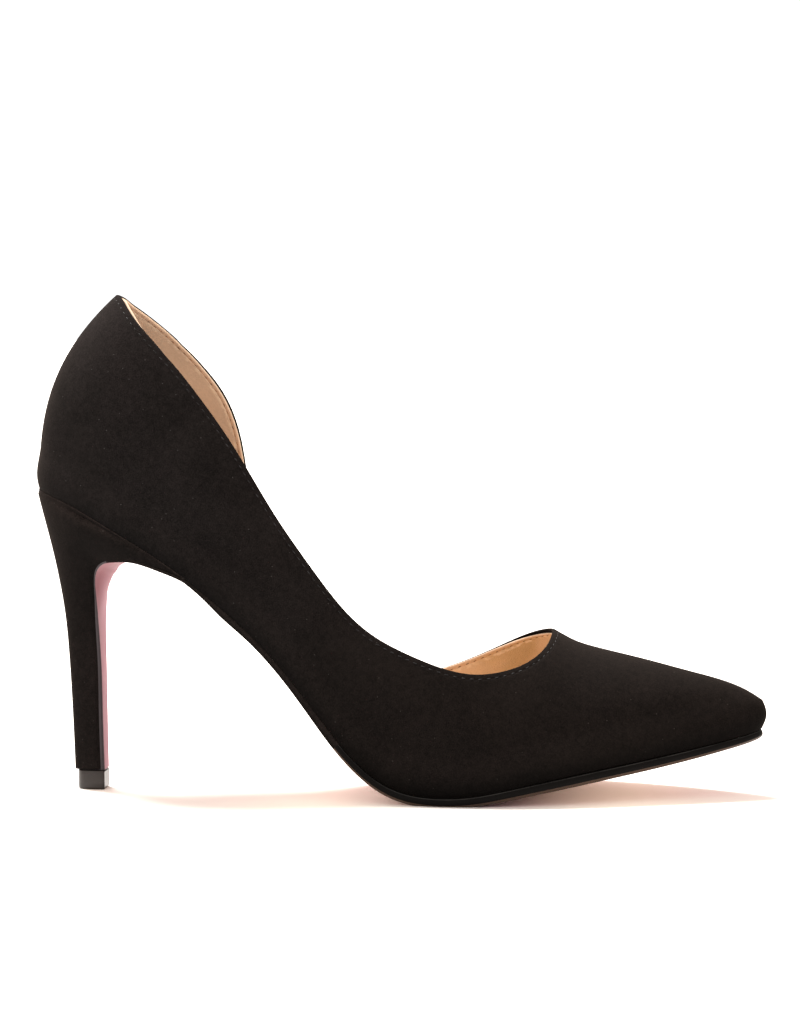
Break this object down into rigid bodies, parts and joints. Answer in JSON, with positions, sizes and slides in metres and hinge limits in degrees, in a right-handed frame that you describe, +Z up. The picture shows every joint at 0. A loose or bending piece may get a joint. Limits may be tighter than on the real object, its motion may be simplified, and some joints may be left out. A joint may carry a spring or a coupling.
{
  "type": "asymmetric pump",
  "caption": "Pointed suede court shoe for the right foot, lateral side whole, medial side cut away at the arch, on a slim high covered heel.",
  "frame": {"origin": "on the floor, under the middle of the shoe's box in plan", "axes": "+X from heel to toe, +Y to the medial side of this right shoe, +Z up"},
  "size_m": [0.2296, 0.0758, 0.1559],
  "materials": {
    "upper_suede": "black suede with a soft nap, beige leather lining inside",
    "sock_leather": "beige lining leather, matt",
    "sole_leather": "rose pink satin sole and breast, dark edge",
    "heel_suede": "black suede cover with a soft nap",
    "hard_tip": "hard dark plastic, slight gloss"
  },
  "bodies": {
    "root": {"upper": "upper_suede", "insole": "sock_leather", "outsole": "sole_leather", "heel": "heel_suede", "top_piece": "hard_tip"}
  },
  "joints": []
}
